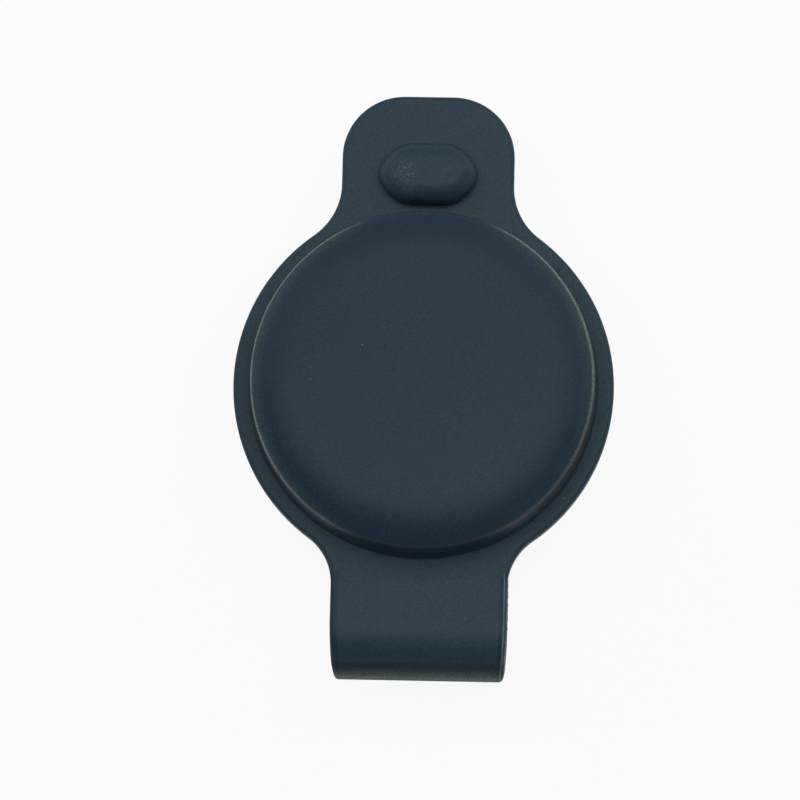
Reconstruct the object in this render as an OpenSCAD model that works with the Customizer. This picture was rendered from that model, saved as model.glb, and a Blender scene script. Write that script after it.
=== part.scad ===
/* [Holder sheet] */
// Thickness of the panel, the strap and the back flap
sheet_t = 1.9; // [1.6:0.1:2.2]
// Free height for the webbing or cord between the flap and the pocket
strap_gap = 4.9; // [4:0.1:7]
// Width of the strap and of the fold
strap_w = 17.5; // [15:0.5:20]
// Length of straight strap between the round flange and the fold
strap_len = 4.47; // [3.5:0.01:8]
// Radius of the inner corner between strap and flange
strap_fillet = 5.8; // [3:0.1:7]
// Outer radius of the fold's two bends, between which it is flat
fold_round = 4.3; // [3:0.1:4.4]

/* [Pocket] */
// Gap between the tag and the pocket all round
tag_fit = 0.15; // [0.1:0.05:0.3]
// Wall of the pocket at its rim
wall_t = 1; // [0.9:0.05:1.5]
// Draft of the wall, from the rim down to the panel
wall_draft = 0.3; // [0.1:0.05:0.6]
// Roof of the pocket over the middle of the tag
roof_t = 1.05; // [0.9:0.05:1.5]
// Thickness of the lip that holds the tag from behind
lip_t = 1.0; // [0.8:0.05:1.2]
// How far the pocket stands out behind the panel
pocket_back = 2.0; // [1.7:0.1:2.3]
// Rounding of the pocket's back edge, at most the wall
back_round = 1.0; // [0.7:0.1:1.5]
// Width of the flat flange round the pocket
flange_w = 1.62; // [1:0.01:3]
// Radius of the nearly flat middle of the roof
roof_flat_r = 12; // [10:0.5:13]
// Rise of the roof over its nearly flat middle
roof_rise = 0.15; // [0.05:0.05:0.3]
// Radius of the roof's soft shoulder
shoulder_r = 8.8; // [8:0.1:10]
// Radius of the pocket's outer rim
rim_r = 1.1; // [0.5:0.1:1.3]

/* [Tab and button] */
// Width of the tab
tab_w = 17.36; // [15:0.01:20]
// Radius of the tab's two outer corners
tab_corner = 6.25; // [4:0.25:7]
// Radius of the inner corner between tab and flange
tab_fillet = 6.6; // [4:0.1:7]
// Width of tab beyond the button's head
tab_margin = 5.1; // [4:0.1:7]
// Length of the button's head
head_l = 10; // [9:0.1:12]
// Width of the button's head
head_w = 6.27; // [5.5:0.1:7]
// Height of the button's head
head_h = 2.25; // [1.6:0.05:2.6]
// How far the head narrows up to its flat top, along the radius
head_slope = 0.9; // [0.5:0.05:1.2]
// Length of the button's neck
neck_l = 6.4; // [5.5:0.1:7]
// Width of the button's neck
neck_w = 3.0; // [2.4:0.1:3.4]
// Clearance of the neck at the slot's ends
slot_end_gap = 0.3; // [0.2:0.05:0.6]
// Clearance of the neck at the slot's long sides
slot_side_gap = 0.45; // [0.4:0.05:0.6]

/* [Back flap] */
// Width of the flap at its tip
flap_tip_w = 16.2; // [14:0.1:17]
// Radius of the flap's tip corners
flap_corner = 5.5; // [4:0.5:7]
// How far the flap's tip stays behind the tab's edge
flap_inset = 2.0; // [1:0.1:3]
// Middle radius of the flap's two bends
flap_bend_r = 2.0; // [1.8:0.1:2.5]
// Slope of the flap between its bends, in degrees
flap_slope = 55; // [50:1:62]
// Gap between the flap and the pocket and tab
flap_gap = 0.3; // [0.2:0.05:0.5]

/* [Tracker tag] */
// Widest diameter of the tag
tag_d = 31.9; // [31:0.1:35]
// Radial width of the rounded flank on the tag's front
front_flank_w = 3.35; // [3:0.05:3.8]
// Radial width of the rounded flank on the tag's back
rear_flank_w = 2.65; // [2.3:0.05:2.9]
// Height of the rounded flank on the tag's back
rear_flank_h = 3.35; // [3.1:0.05:3.6]
// Rise of the tag's front crown
tag_crown = 0.7; // [0.4:0.05:0.9]
// Wall of the tag's white shell
shell_t = 0.9; // [0.75:0.05:1]
// Diameter of the coin cell
cell_d = 20; // [18:0.5:20.5]
// Thickness of the coin cell
cell_t = 3.2; // [3:0.1:3.6]
// Thickness of the steel battery cover
cover_t = 0.3; // [0.2:0.05:0.4]
// Rise of the battery cover's crown
cover_crown = 0.85; // [0.6:0.05:1]
// Thickness of the battery tray's floor
tray_floor_t = 0.4; // [0.3:0.05:0.6]
// Thickness of the circuit board
board_t = 0.5; // [0.4:0.05:0.7]
// Room for the loudspeaker above the circuit board
speaker_room = 1.75; // [1.6:0.05:2.2]
// Turn that frees the battery cover, in degrees
cover_turn = 20; // [18:1:24]

/* [Hidden] */
$fn = 96;
curve_steps = 12;
overrun = 0.5;

// Colours of the materials
silicone = [0.165, 0.22, 0.275];
white_plastic = [0.93, 0.93, 0.92];
grey_plastic = [0.72, 0.73, 0.74];
steel = [0.75, 0.76, 0.78];
copper = [0.78, 0.45, 0.25];
board_colour = [0.08, 0.1, 0.12];
gasket_colour = [0.2, 0.2, 0.21];

// Plan of the tag
tag_r = tag_d / 2;
front_edge_r = tag_r - front_flank_w;
rear_edge_r = tag_r - rear_flank_w;
tag_rim_w = 0.2;
cover_gap = 0.2;
mouth_r = rear_edge_r - tag_rim_w;
cover_r = mouth_r - cover_gap;
cell_r = cell_d / 2;
cell_gap = 0.1;

// Heights of the holder, from the face it lies on
pocket_back_z = sheet_t + strap_gap;
panel_back_z = pocket_back_z + pocket_back;
panel_front_z = panel_back_z + sheet_t;
fold_z = panel_front_z / 2;

// Heights of the tag, which is stacked up from what it holds
tag_t = cover_crown + cover_t + cell_t + cell_gap + tray_floor_t + board_t + speaker_room + shell_t;
tag_z = pocket_back_z + lip_t + tag_fit - cover_crown;
rim_z = tag_z + cover_crown;
mid_z = rim_z + rear_flank_h;
front_z = tag_z + tag_t;
front_flank_h = front_z - tag_crown - mid_z;
shell_in_r = tag_r - shell_t;
shell_in_z = front_z - shell_t;
cell_z = tag_z + cover_crown + cover_t;
cell_front_z = cell_z + cell_t;
floor_z = cell_front_z + cell_gap;
board_z = floor_z + tray_floor_t;
board_top_z = board_z + board_t;

// Plan of the holder
cavity_r = tag_r + tag_fit;
rim_out_r = cavity_r + wall_t;
base_r = rim_out_r + wall_draft;
flange_r = base_r + flange_w;
fold_y = flange_r + strap_len;
roof_z = front_z + tag_fit + roof_t;
lip_top_z = panel_back_z + sheet_t / 2;
lip_mouth_bare = 0.1;
lip_mouth_r = rear_edge_r + lip_mouth_bare;
lip_chamfer = 0.3;
pocket_round = min(back_round, wall_t);

// The flap's step, which carries its tip up to the tab
flap_tip_z = panel_back_z - flap_gap - sheet_t / 2;
bend_two_z = flap_tip_z - flap_bend_r;
round_y = rim_out_r - pocket_round;
round_z = pocket_back_z + pocket_round;
step_reach = pocket_round + flap_gap + flap_bend_r + sheet_t / 2;
bend_two_y = round_y + (step_reach - (round_z - bend_two_z) * cos(flap_slope)) / sin(flap_slope);
step_rise = flap_tip_z - sheet_t / 2;
slope_rise = step_rise - 2 * flap_bend_r * (1 - cos(flap_slope));
step_run = 2 * flap_bend_r * sin(flap_slope) + slope_rise / tan(flap_slope);
bend_one_y = bend_two_y - step_run;

// The button, which stands on the level tip of the flap
button_margin = 0.3;
button_y = bend_two_y + button_margin + neck_w / 2;
head_lift = 0.25;
head_z = panel_front_z + head_lift;
head_under = 0.35;
head_band = 0.4;
head_crown = 0.15;
head_edge = 0.35;
tab_end_y = button_y + head_w / 2 + tab_margin;
flap_end_y = tab_end_y - flap_inset;

// Battery cover with its three bayonet tabs
tab_count = 3;
collar_gap = 0.35;
collar_t = 0.5;
collar_r = cell_r + collar_gap;
plate_t = 0.45;
plate_inset = 0.4;
seal_t = 0.2;
seal_w = 0.8;
seal_inset = 0.1;
bayonet_gap = 0.1;
ledge_t = 0.4;
ledge_gap = 0.25;
tab_t = 0.5;
tab_drop = 0.15;
tab_wall_gap = 0.5;
ledge_angle = 20;
turn_margin = 2;
tab_angle = 2 * (cover_turn - turn_margin) - ledge_angle;
seat_gap = 0.05;
glue_t = 0.05;
tray_wall_t = 0.6;
tray_wall_r = mouth_r - seat_gap;
tray_in_r = tray_wall_r - tray_wall_t;
plate_z = cell_z + plate_t;
ledge_z = plate_z + seal_t + bayonet_gap;
cover_tab_z = ledge_z + ledge_t + tab_drop;
cover_tab_r = tray_in_r - tab_wall_gap;
nest_z = cover_tab_z + tab_t + tab_drop;
nest_r = cell_r + collar_gap / 2;

// Loudspeaker in the middle of the board
yoke_r = 4.9;
yoke_t = 0.35;
magnet_r = 3.5;
coil_r = 4.25;
coil_t = 0.45;
coil_dip = 0.8;
board_hole_gap = 0.4;
window_r = 3.2;
contact_r = 2.9;
contact_t = 0.15;
dimple_r = 1.2;
board_inset = 1;
antenna_w = 2.7;
antenna_gap = 0.2;
trace_t = 0.08;
trace_w = 0.5;

function arc(c, ra, rb, a0, a1) =
    [for (i = [0:curve_steps]) let (t = a0 + (a1 - a0) * i / curve_steps)
        [c[0] + ra * cos(t), c[1] + rb * sin(t)]];

function crown(edge_r, edge_z, top_z) =
    [for (i = [1:curve_steps]) let (s = 1 - i / curve_steps)
        [edge_r * s, top_z - (top_z - edge_z) * s * s]];

// Radius inside the shell's front flank at a given height
function flank_r(z) =
    front_edge_r + (front_flank_w - shell_t)
        * sqrt(1 - pow((z - mid_z) / (front_flank_h - shell_t), 2));

tray_r = flank_r(board_z) - seat_gap;
antenna_top_z = mid_z + front_flank_h - shell_t - antenna_gap;

module stadium(l, w) {
    square([l - w, w], center = true);
    for (side = [-1, 1]) translate([side * (l - w) / 2, 0]) circle(w / 2);
}

// A stadium whose sides lean in by the same amount all round
module stadium_frustum(l, w, lean, h) {
    span = l - w;
    for (side = [-1, 1])
        translate([side * span / 2, 0, 0]) cylinder(h = h, r1 = w / 2, r2 = w / 2 - lean);
    translate([-span / 2, 0, 0]) rotate([90, 0, 90])
        linear_extrude(span)
            polygon([[-w / 2, 0], [w / 2, 0], [w / 2 - lean, h], [lean - w / 2, h]]);
}

// Solid inner corner between a straight side at x and the round flange
module corner_fill(x, f) {
    cy = sqrt(pow(flange_r + f, 2) - pow(x + f, 2));
    c = [x + f, cy];
    difference() {
        polygon([[0, 0], c * flange_r / (flange_r + f), c, [x, cy], [0, cy]]);
        translate(c) circle(f);
    }
}

module both_sides() {
    children();
    mirror([1, 0]) children();
}

module panel_outline() {
    circle(flange_r);
    translate([-tab_w / 2, 0]) square([tab_w, tab_end_y - tab_corner]);
    translate([tab_corner - tab_w / 2, 0]) square([tab_w - 2 * tab_corner, tab_end_y]);
    both_sides() translate([tab_w / 2 - tab_corner, tab_end_y - tab_corner]) circle(tab_corner);
    both_sides() corner_fill(tab_w / 2, tab_fillet);
    translate([-strap_w / 2, -fold_y]) square([strap_w, fold_y]);
    mirror([0, 1]) both_sides() corner_fill(strap_w / 2, strap_fillet);
}

// Outside of the pocket: back edge, drafted wall, rim, shoulder and roof
module pocket_outside() {
    shoulder_z = roof_z - roof_rise - shoulder_r;
    rim_x = rim_out_r - rim_r;
    rim_dz = sqrt(pow(shoulder_r - rim_r, 2) - pow(rim_x - roof_flat_r, 2));
    rim_angle = atan2(rim_dz, rim_x - roof_flat_r);
    rotate_extrude() polygon(concat(
        [[0, pocket_back_z]],
        arc([round_y, round_z], pocket_round, pocket_round, -90, 0),
        [[rim_out_r, panel_back_z], [base_r, panel_back_z], [base_r, panel_front_z]],
        arc([rim_x, shoulder_z + rim_dz], rim_r, rim_r, 0, rim_angle),
        arc([roof_flat_r, shoulder_z], shoulder_r, shoulder_r, rim_angle, 90),
        crown(roof_flat_r, roof_z - roof_rise, roof_z)
    ));
}

// Room for the tag, with a straight bore from its widest level to the back
module pocket_room() {
    rotate_extrude() polygon(concat(
        [[0, pocket_back_z - overrun], [cavity_r, pocket_back_z - overrun]],
        arc([front_edge_r, mid_z], front_flank_w + tag_fit, front_flank_h + tag_fit, 0, 90),
        crown(front_edge_r, front_z - tag_crown + tag_fit, front_z + tag_fit)
    ));
}

module front_shell() {
    color(silicone) difference() {
        union() {
            translate([0, 0, panel_back_z]) linear_extrude(sheet_t) panel_outline();
            pocket_outside();
        }
        pocket_room();
        translate([0, button_y, panel_back_z - overrun]) linear_extrude(sheet_t + 2 * overrun)
            stadium(neck_l + 2 * slot_end_gap, neck_w + 2 * slot_side_gap);
    }
}

module pocket_lip() {
    a = rear_flank_w + tag_fit;
    b = rear_flank_h + tag_fit;
    color(silicone) rotate_extrude() polygon(concat(
        [[lip_mouth_r, pocket_back_z + lip_chamfer], [lip_mouth_r + lip_chamfer, pocket_back_z],
         [cavity_r, pocket_back_z], [cavity_r, lip_top_z]],
        arc([rear_edge_r, mid_z], a, b, -asin((mid_z - lip_top_z) / b), -acos(lip_mouth_bare / a))
    ));
}

// Side of a block that ends in two round corners, and runs past its middle at the other end
module round_block(half_h, corner) {
    flat = half_h - corner;
    translate([-half_h, -flat]) square([half_h + overrun, 2 * flat]);
    translate([-flat, -half_h]) square([flat + overrun, 2 * half_h]);
    for (side = [-1, 1]) translate([-flat, side * flat]) circle(corner);
}

// The strap's U-shaped fold, as deep as half its height
module fold_hinge() {
    color(silicone) translate([-strap_w / 2, -fold_y, fold_z]) rotate([90, 0, 90])
        linear_extrude(strap_w) difference() {
            round_block(fold_z, fold_round);
            round_block(fold_z - sheet_t, fold_round - sheet_t);
            translate([0, -fold_z - overrun]) square(2 * (fold_z + overrun));
        }
}

module flap_side() {
    half_t = sheet_t / 2;
    bend_one = [bend_one_y, half_t + flap_bend_r];
    bend_two = [bend_two_y, bend_two_z];
    small_r = flap_bend_r - half_t;
    large_r = flap_bend_r + half_t;
    polygon(concat(
        [[-fold_y, sheet_t]],
        arc(bend_one, small_r, small_r, -90, flap_slope - 90),
        arc(bend_two, large_r, large_r, 90 + flap_slope, 90),
        [[flap_end_y, flap_tip_z + half_t], [flap_end_y, flap_tip_z - half_t]],
        arc(bend_two, small_r, small_r, 90, 90 + flap_slope),
        arc(bend_one, large_r, large_r, flap_slope - 90, -90),
        [[-fold_y, 0]]
    ));
}

module flap_plan() {
    corner_x = flap_tip_w / 2 - flap_corner;
    corner_y = flap_end_y - flap_corner;
    polygon(concat(
        [[-strap_w / 2, -fold_y], [strap_w / 2, -fold_y]],
        arc([corner_x, corner_y], flap_corner, flap_corner, 0, 90),
        arc([-corner_x, corner_y], flap_corner, flap_corner, 90, 180)
    ));
}

module back_flap() {
    color(silicone) intersection() {
        translate([-strap_w / 2 - overrun, 0, 0]) rotate([90, 0, 90])
            linear_extrude(strap_w + 2 * overrun) flap_side();
        linear_extrude(panel_front_z) flap_plan();
    }
}

module button_neck() {
    neck_z = flap_tip_z + sheet_t / 2;
    color(silicone) translate([0, button_y, neck_z]) linear_extrude(head_z - neck_z)
        stadium(neck_l, neck_w);
}

// Head of the button: undercut, band, sloped side and a low crown
module button_head() {
    slope_h = head_h - head_under - head_band - head_crown;
    top_l = head_l - 2 * head_slope;
    top_w = head_w - 2 * head_slope;
    color(silicone) translate([0, button_y, head_z]) {
        stadium_frustum(head_l - 2 * head_edge, head_w - 2 * head_edge, -head_edge, head_under);
        translate([0, 0, head_under]) linear_extrude(head_band) stadium(head_l, head_w);
        translate([0, 0, head_under + head_band])
            stadium_frustum(head_l, head_w, head_slope, slope_h);
        translate([0, 0, head_h - head_crown])
            stadium_frustum(top_l, top_w, head_edge, head_crown);
    }
}

module tag_shell() {
    color(white_plastic) rotate_extrude() polygon(concat(
        [[mouth_r, rim_z]],
        arc([rear_edge_r, mid_z], rear_flank_w, rear_flank_h, -90, 0),
        arc([front_edge_r, mid_z], front_flank_w, front_flank_h, 0, 90),
        crown(front_edge_r, front_z - tag_crown, front_z),
        [[0, shell_in_z]],
        [for (i = [1:curve_steps - 1]) let (s = i / curve_steps)
            [front_edge_r * s, shell_in_z - tag_crown * s * s]],
        arc([front_edge_r, mid_z], front_flank_w - shell_t, front_flank_h - shell_t, 90, 0),
        arc([mouth_r, mid_z], shell_in_r - mouth_r, rear_flank_h - shell_t, 0, -90)
    ));
}

// A flat ring, or a stretch of one
module ring(in_r, out_r, z, h, turn = 360) {
    translate([0, 0, z]) rotate([0, 0, -turn / 2]) rotate_extrude(angle = turn)
        translate([in_r, 0]) square([out_r - in_r, h]);
}

module antenna_ring() {
    color(grey_plastic)
        ring(front_edge_r - antenna_w, front_edge_r, board_top_z, antenna_top_z - board_top_z);
}

// Three radio antennas laid as copper paths on the ring
module antenna_traces() {
    trace_turns = [96, 70, 84];
    trace_shares = [0.25, 0.5, 0.75];
    color(copper) for (i = [0:2]) rotate([0, 0, 120 * i]) {
        path_r = front_edge_r - antenna_w + trace_shares[i] * (antenna_w - trace_w);
        ring(path_r, path_r + trace_w, antenna_top_z, trace_t, trace_turns[i]);
    }
}

module voice_coil() {
    top_z = shell_in_z - tag_crown * pow(coil_r / front_edge_r, 2);
    coil_z = antenna_top_z - coil_dip;
    color(copper) ring(coil_r - coil_t, coil_r, coil_z, top_z - coil_z);
}

module speaker_magnet() {
    color(steel) translate([0, 0, board_z + yoke_t])
        cylinder(h = antenna_top_z - board_z - yoke_t, r = magnet_r);
}

module magnet_yoke() {
    color(grey_plastic) difference() {
        translate([0, 0, board_z]) cylinder(h = antenna_top_z - board_z, r = yoke_r);
        translate([0, 0, board_z + yoke_t])
            cylinder(h = antenna_top_z - board_z, r = yoke_r - yoke_t);
    }
}

board_hole_r = yoke_r + board_hole_gap;
board_r = tray_r - board_inset;

module circuit_board() {
    color(board_colour) ring(board_hole_r, board_r, board_z, board_t);
}

// Sheet metal can over the radio, open towards the board
shield_h = 0.75;
shield_t = 0.15;
shield_turn = 130;
shield_margin = 0.3;
shield_in_r = board_hole_r + shield_margin;
shield_out_r = front_edge_r - antenna_w - shield_margin;

module radio_shield() {
    color(steel) difference() {
        ring(shield_in_r, shield_out_r, board_top_z, shield_h, shield_turn);
        ring(shield_in_r + shield_t, shield_out_r - shield_t, board_top_z - overrun,
             shield_h - shield_t + overrun, shield_turn - 2 * atan(shield_t / shield_in_r));
    }
}

// Small parts soldered to the rest of the board
chip_h = 0.6;
chip_turns = [95, 116, 137, 158, 179, 200, 220, 240];
chip_shares = [0.6, 0.35, 0.75, 0.45, 0.7, 0.3, 0.55, 0.65];

module board_chips() {
    room = shield_out_r - shield_in_r;
    mid_r = (shield_out_r + shield_in_r) / 2;
    color(gasket_colour) for (i = [0:len(chip_turns) - 1]) rotate([0, 0, chip_turns[i]])
        translate([mid_r - room * chip_shares[i] / 2, -room * chip_shares[i] / 3, board_top_z])
            cube([room * chip_shares[i], room * chip_shares[i] * 2 / 3, chip_h]);
}

contact_w = 2;
contact_leaf_t = 0.3;
contact_play = 0.2;
contact_turns = [60, 180];

// Moulded tray with the cell's nest and the three ledges that hold the cover
module battery_tray() {
    color(white_plastic) difference() {
        union() {
            ring(tray_in_r, tray_wall_r, ledge_z, floor_z - ledge_z);
            ring(nest_r, tray_in_r + seat_gap, nest_z, floor_z - nest_z);
            ring(window_r, tray_r, floor_z, tray_floor_t);
            for (i = [0:tab_count - 1]) rotate([0, 0, 360 * i / tab_count])
                ring(collar_r + collar_t + ledge_gap, tray_in_r + seat_gap, ledge_z, ledge_t,
                     ledge_angle);
        }
        for (turn = contact_turns) rotate([0, 0, turn])
            translate([0, -contact_w / 2 - contact_play, nest_z - overrun])
                cube([cell_r + contact_leaf_t + contact_play, contact_w + 2 * contact_play,
                      floor_z - nest_z + overrun]);
    }
}

module negative_contact() {
    top_z = board_z - contact_t;
    color(steel) {
        translate([0, 0, top_z]) cylinder(h = contact_t, r = contact_r);
        translate([0, 0, cell_front_z]) cylinder(h = top_z - cell_front_z, r = dimple_r);
    }
}

module positive_contacts() {
    color(steel) for (turn = contact_turns) rotate([0, 0, turn])
        translate([cell_r, -contact_w / 2, nest_z]) cube([contact_leaf_t, contact_w, floor_z - nest_z]);
}

can_t = 0.25;
cap_step = 0.2;
gasket_w = 0.85;
cap_r = cell_r - can_t - gasket_w;
crimp_z = cell_front_z - cap_step;

module cell_can() {
    color(steel) difference() {
        translate([0, 0, cell_z]) cylinder(h = crimp_z - cell_z, r = cell_r);
        translate([0, 0, cell_z + can_t]) cylinder(h = cell_t, r = cell_r - can_t);
    }
}

module cell_core() {
    color(gasket_colour) translate([0, 0, cell_z + can_t])
        cylinder(h = cell_t - 2 * can_t, r = cap_r - can_t);
}

module cell_gasket() {
    color(gasket_colour) ring(cap_r, cell_r - can_t, cell_z + can_t, crimp_z - cell_z - can_t);
}

module cell_cap() {
    color(steel) difference() {
        translate([0, 0, cell_z + can_t]) cylinder(h = cell_t - can_t, r = cap_r);
        translate([0, 0, cell_z + can_t - overrun])
            cylinder(h = cell_t - 2 * can_t + overrun, r = cap_r - can_t);
    }
}

// Height of the battery cover's outer face at a given radius
function dish_z(r) = tag_z + cover_crown * pow(r / cover_r, 2);

module battery_cover() {
    color(steel) rotate_extrude() polygon(concat(
        [for (i = [0:curve_steps]) let (r = cover_r * i / curve_steps) [r, dish_z(r)]],
        [for (i = [0:curve_steps]) let (r = cover_r * (1 - i / curve_steps))
            [r, dish_z(r) + cover_t]]
    ));
}

// Plastic ring glued under the cover, with a collar and three bayonet tabs
module cover_ring() {
    plate_r = cover_r - plate_inset;
    color(white_plastic) {
        rotate_extrude() polygon(concat(
            [for (i = [0:curve_steps]) let (r = collar_r + (plate_r - collar_r) * i / curve_steps)
                [r, dish_z(r) + cover_t + glue_t]],
            [[plate_r, plate_z], [collar_r + collar_t, plate_z],
             [collar_r + collar_t, cover_tab_z + tab_t], [collar_r, cover_tab_z + tab_t]]
        ));
        for (i = [0:tab_count - 1]) rotate([0, 0, 360 * i / tab_count])
            ring(collar_r + collar_t / 2, cover_tab_r, cover_tab_z, tab_t, tab_angle);
    }
}

module cover_seal() {
    seal_r = cover_r - plate_inset - seal_inset;
    color(gasket_colour) ring(seal_r - seal_w, seal_r, plate_z, seal_t);
}

front_shell();
pocket_lip();
fold_hinge();
back_flap();
button_neck();
button_head();
tag_shell();
antenna_ring();
antenna_traces();
voice_coil();
speaker_magnet();
magnet_yoke();
circuit_board();
radio_shield();
board_chips();
battery_tray();
negative_contact();
positive_contacts();
cell_can();
cell_core();
cell_gasket();
cell_cap();
cover_seal();
cover_ring();
battery_cover();
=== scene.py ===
import math
import bmesh
import bpy
import numpy as np
from mathutils import Matrix, Vector


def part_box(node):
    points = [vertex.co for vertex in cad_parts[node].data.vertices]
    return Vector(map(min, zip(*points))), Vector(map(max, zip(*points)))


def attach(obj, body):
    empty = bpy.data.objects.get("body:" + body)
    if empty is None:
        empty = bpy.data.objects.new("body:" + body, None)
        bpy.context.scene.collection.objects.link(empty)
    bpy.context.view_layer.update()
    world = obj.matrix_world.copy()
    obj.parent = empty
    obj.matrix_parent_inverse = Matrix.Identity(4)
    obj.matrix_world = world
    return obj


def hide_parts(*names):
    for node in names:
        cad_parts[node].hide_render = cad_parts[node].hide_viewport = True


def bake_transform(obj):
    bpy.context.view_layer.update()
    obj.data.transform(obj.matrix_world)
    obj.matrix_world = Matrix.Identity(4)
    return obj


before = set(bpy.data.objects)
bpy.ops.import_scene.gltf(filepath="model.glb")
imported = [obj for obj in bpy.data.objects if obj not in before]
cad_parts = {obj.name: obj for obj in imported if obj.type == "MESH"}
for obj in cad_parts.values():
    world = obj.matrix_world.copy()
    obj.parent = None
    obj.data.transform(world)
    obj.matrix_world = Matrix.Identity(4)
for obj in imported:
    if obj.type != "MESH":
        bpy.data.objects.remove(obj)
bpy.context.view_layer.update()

# Front of the holder: a silicone moulding in one piece, with a round domed pocket on a flat flange,
# a slotted tab above it and the start of the strap below. The pocket's stretchy lip at the back
# belongs to the same moulding, so this piece stands for both solids.
panel_low, panel_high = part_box("front_shell")
fold_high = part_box("fold_hinge")[1]
lip_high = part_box("pocket_lip")[1]
flange_r = panel_high.x
tab_end = panel_high.y
fold_y = panel_low.y
roof_z = panel_high.z
pocket_back = panel_low.z
face_z = fold_high.z
half_sheet = face_z - lip_high.z
back_z = face_z - 2 * half_sheet
cavity_r = lip_high.x
strap_half = fold_high.x
tab_half = 0.00868
tab_corner = 0.00625
tab_fillet = 0.0066
strap_fillet = 0.0058
edge_round = 0.00045
strap_spare = 0.002
seam_shift = 0.0002
point_step = 0.00022
rim_out_r = 0.0171
base_r = 0.0174
base_fillet = 0.00022
rim_round = 0.0011
shoulder_round = 0.0088
roof_flat_r = 0.012
roof_rise = 0.00015
back_round = 0.001
lip_edge = 0.0003
edge_steps = 6
arc_steps = 14
rim_steps = 8
fillet_steps = 5
inner_fillet_steps = 4
crown_steps = 6
wall_loops = 4
flange_shares = (0.12, 0.3, 0.5, 0.7, 0.88)
smooth_angle = math.radians(40)
weld_gap = 1e-7
shoulder_z = roof_z - roof_rise - shoulder_round
rim_x = rim_out_r - rim_round
rim_dz = math.sqrt((shoulder_round - rim_round) ** 2 - (rim_x - roof_flat_r) ** 2)
rim_z = shoulder_z + rim_dz


def arc(x, y, rx, ry, start, stop, steps):
    """Points along an elliptical arc, with its angles in degrees."""
    turn = np.radians(np.linspace(start, stop, steps + 1))
    return np.stack([x + rx * np.cos(turn), y + ry * np.sin(turn)], 1)


def traced(points, normals):
    return np.concatenate([np.array(points), np.array(normals)], 1)


def straight(x0, y0, x1, y1):
    """An edge of the outline as rows of x, y and its outward normal."""
    length = math.hypot(x1 - x0, y1 - y0)
    steps = max(2, round(length / point_step))
    share = np.linspace(0, 1, steps + 1)[:, None]
    points = np.array([[x0, y0]]) * (1 - share) + np.array([[x1, y1]]) * share
    return traced(points, np.tile([(y1 - y0) / length, (x0 - x1) / length], (steps + 1, 1)))


def bent(x, y, radius, start, stop):
    """An arc of the outline; a falling angle is an inner corner, whose normal faces its centre."""
    steps = max(4, round(radius * abs(math.radians(stop - start)) / point_step))
    points = arc(x, y, radius, radius, start, stop, steps)
    side = 1 if stop > start else -1
    return traced(points, (points - [x, y]) / radius * side)


def panel_outline():
    """The panel's edge, counterclockwise from the middle of the strap's end."""
    strap_x, tab_x = strap_half + strap_fillet, tab_half + tab_fillet
    strap_y = -math.sqrt((flange_r + strap_fillet) ** 2 - strap_x ** 2)
    tab_y = math.sqrt((flange_r + tab_fillet) ** 2 - tab_x ** 2)
    low, high = math.degrees(math.atan2(strap_y, strap_x)), math.degrees(math.atan2(tab_y, tab_x))
    end = fold_y - strap_spare
    clear = 2 * edge_round
    right = np.concatenate([
        straight(0, end, strap_half - clear, end),
        [[strap_half, end, 1, -1]],
        straight(strap_half, end + clear, strap_half, strap_y),
        bent(strap_x, strap_y, strap_fillet, 180, 180 + low),
        bent(0, 0, flange_r, low, high),
        bent(tab_x, tab_y, tab_fillet, 180 + high, 180),
        straight(tab_half, tab_y, tab_half, tab_end - tab_corner),
        bent(tab_half - tab_corner, tab_end - tab_corner, tab_corner, 0, 90),
        straight(tab_half - tab_corner, tab_end, 0, tab_end)])
    keep = [0] + [i for i in range(1, len(right))
                  if np.linalg.norm(right[i, :2] - right[i - 1, :2]) > point_step / 10]
    right = right[keep]
    return np.concatenate([right, (right * [-1, 1, -1, 1])[-2:0:-1]])


def tidy_mesh(name, mesh):
    """An object with this mesh, welded, with outward faces, and smooth up to the smoothing angle."""
    form = bmesh.new()
    form.from_mesh(mesh)
    bmesh.ops.remove_doubles(form, verts=form.verts, dist=weld_gap)
    bmesh.ops.recalc_face_normals(form, faces=form.faces)
    form.to_mesh(mesh)
    form.free()
    mesh.shade_smooth()
    mesh.set_sharp_from_angle(angle=smooth_angle)
    piece = bpy.data.objects.new(name, mesh)
    bpy.context.scene.collection.objects.link(piece)
    return piece


def solid_mesh(name, verts, faces):
    mesh = bpy.data.meshes.new(name)
    mesh.from_pydata([tuple(v) for v in verts], [], faces)
    return tidy_mesh(name, mesh)


def lofted(rings, first=None, last=None):
    """Vertices and faces of rings of equal length, closed by a point or a face at either end."""
    count = len(rings[0])
    verts = np.concatenate(rings).tolist()
    faces = [(k * count + i, k * count + (i + 1) % count,
              (k + 1) * count + (i + 1) % count, (k + 1) * count + i)
             for k in range(len(rings) - 1) for i in range(count)]
    for point, start in ((first, 0), (last, (len(rings) - 1) * count)):
        loop = list(range(start, start + count))
        if point is None:
            faces.append(tuple(loop))
        else:
            verts.append(list(point))
            faces += [(loop[i], loop[(i + 1) % count], len(verts) - 1) for i in range(count)]
    return verts, faces


def crown(edge_r, edge_z, top_z):
    """A low crown from its edge towards the middle, without the middle itself."""
    share = np.linspace(1, 0, crown_steps + 1)[:-1]
    return np.stack([edge_r * share, top_z - (top_z - edge_z) * share ** 2], 1)


def rounded_edge(radius, face, way):
    """Insets and heights over a rounded edge, from the flat face to the side; way is 1 for upwards."""
    turns = [math.radians(90 * i / edge_steps) for i in range(edge_steps + 1)]
    return [(radius * (1 - math.sin(turn)), face + way * radius * (1 - math.cos(turn)))
            for turn in turns]


tag_low, tag_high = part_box("tag_shell")
tag_front = tag_high.z
tag_fit = cavity_r - tag_high.x
tag_mid = 0.0113
front_flank = 0.00335
rear_flank = 0.00265
tag_crown = 0.0007
lip_bare = 0.0001


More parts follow.
